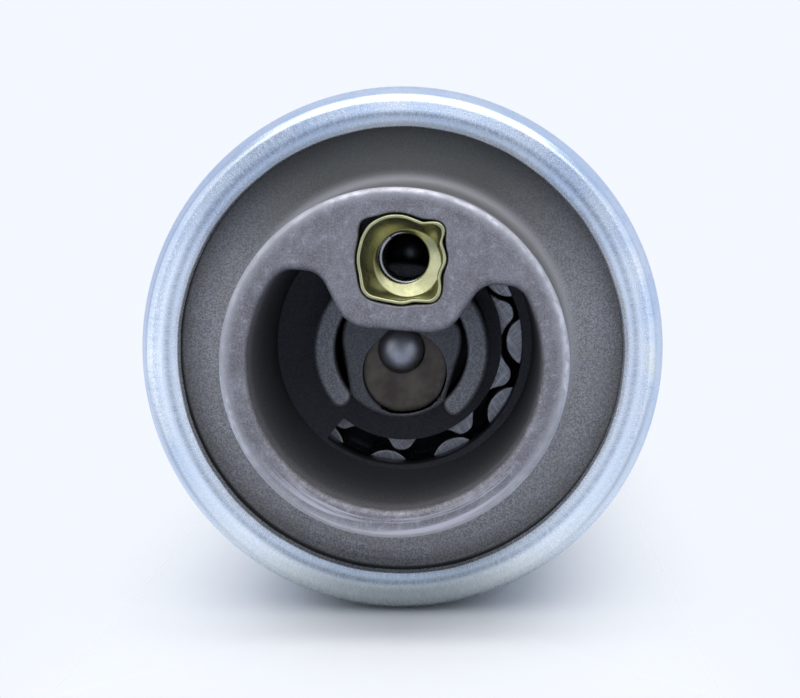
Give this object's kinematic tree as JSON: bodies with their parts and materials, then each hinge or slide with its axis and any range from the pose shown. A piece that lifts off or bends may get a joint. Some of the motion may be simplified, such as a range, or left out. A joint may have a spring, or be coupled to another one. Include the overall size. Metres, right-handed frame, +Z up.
{
  "type": "electric fuel pump",
  "caption": "Round electric fuel pump in a rolled steel can: cast inlet neck with relief valve, gerotor rotors, wound motor, and a moulded outlet end with barbed nozzle and stud terminals.",
  "frame": {"origin": "on the surface that the can lies on, below the middle of the pump's whole length", "axes": "+Y along the pump's axis from the inlet neck to the outlet nozzle, +Z up, +X to the right as the inlet is faced"},
  "size_m": [0.044, 0.1172, 0.044],
  "materials": {
    "zinc_steel": "zinc-plated steel, bright with a faint blue passivation",
    "die_cast": "grey die-cast alloy, rough as cast",
    "pressed_brass": "pressed sheet brass",
    "spring_steel": "drawn spring wire",
    "ground_steel": "hardened and ground steel",
    "bronze": "sintered bronze",
    "sintered_steel": "sintered steel with ground faces",
    "laminated_steel": "laminated electrical steel",
    "plain_steel": "plain steel",
    "ferrite": "hard ferrite",
    "seal_rubber": "fuel-resistant rubber",
    "black_moulding": "black glass-filled plastic",
    "insulation": "insulating sheet",
    "copper": "enamelled copper",
    "commutator_moulding": "phenolic moulding",
    "carbon": "carbon brush",
    "nut_steel": "zinc-plated steel"
  },
  "bodies": {
    "housing": {"can": "zinc_steel", "inlet_housing": "die_cast", "relief_retainer": "pressed_brass", "relief_seat": "ground_steel", "relief_spring": "spring_steel", "inlet_seal": "seal_rubber", "outlet_seal": "seal_rubber", "inlet_bush": "bronze", "cam_ring": "sintered_steel", "dowel_pins": "ground_steel", "port_plate": "die_cast", "flux_ring": "plain_steel", "magnet_left": "ferrite", "magnet_right": "ferrite", "magnet_clips": "spring_steel", "shaft_washers": "plain_steel", "outlet_housing": "black_moulding", "outlet_bush": "bronze", "brush_spring_left": "spring_steel", "brush_spring_right": "spring_steel", "choke_cores": "ferrite", "choke_coils": "copper", "choke_links": "pressed_brass", "terminal_studs": "nut_steel", "terminal_washers": "nut_steel", "terminal_nuts": "nut_steel", "valve_seat": "pressed_brass", "valve_spring": "spring_steel"},
    "armature": {"shaft": "ground_steel", "drive_pin": "ground_steel", "inner_rotor": "sintered_steel", "shaft_sleeve": "plain_steel", "armature_core": "laminated_steel", "end_insulators": "insulation", "windings": "copper", "commutator_hub": "commutator_moulding", "commutator_segments": "copper"},
    "ring_gear": {"outer_rotor": "sintered_steel"},
    "relief_ball": {"relief_ball": "ground_steel"},
    "check_poppet": {"valve_poppet": "black_moulding", "valve_seal": "seal_rubber"},
    "brush_left": {"brush_left": "carbon"},
    "brush_right": {"brush_right": "carbon"}
  },
  "joints": [
    {"name": "armature_spin", "type": "hinge", "parent": "housing", "child": "armature", "pos_m": [0, -0.00298, 0.022], "axis": [0, 1, 0], "continuous": true},
    {"name": "outer_rotor_spin", "type": "hinge", "parent": "housing", "child": "ring_gear", "pos_m": [-0.00052, -0.03562, 0.02146], "axis": [0, 1, 0], "continuous": true},
    {"name": "relief_ball_slide", "type": "slide", "parent": "housing", "child": "relief_ball", "axis": [0, -1, 0], "range_m": [0, 0.0015], "stiffness_N_per_m": 300, "springref_m": -0.003, "deforming": ["relief_spring"]},
    {"name": "check_poppet_slide", "type": "slide", "parent": "housing", "child": "check_poppet", "axis": [0, 1, 0], "range_m": [0, 0.002], "stiffness_N_per_m": 80, "springref_m": -0.002, "deforming": ["valve_spring"]},
    {"name": "brush_left_slide", "type": "slide", "parent": "housing", "child": "brush_left", "axis": [0, 1, 0], "range_m": [0, 0.0018], "stiffness_N_per_m": 150, "springref_m": -0.004, "deforming": ["brush_spring_left"]},
    {"name": "brush_right_slide", "type": "slide", "parent": "housing", "child": "brush_right", "axis": [0, 1, 0], "range_m": [0, 0.0018], "stiffness_N_per_m": 150, "springref_m": -0.004, "deforming": ["brush_spring_right"]}
  ],
  "couplings": [
    {"joint": "outer_rotor_spin", "follows": "armature_spin", "ratio": 0.90909}
  ]
}
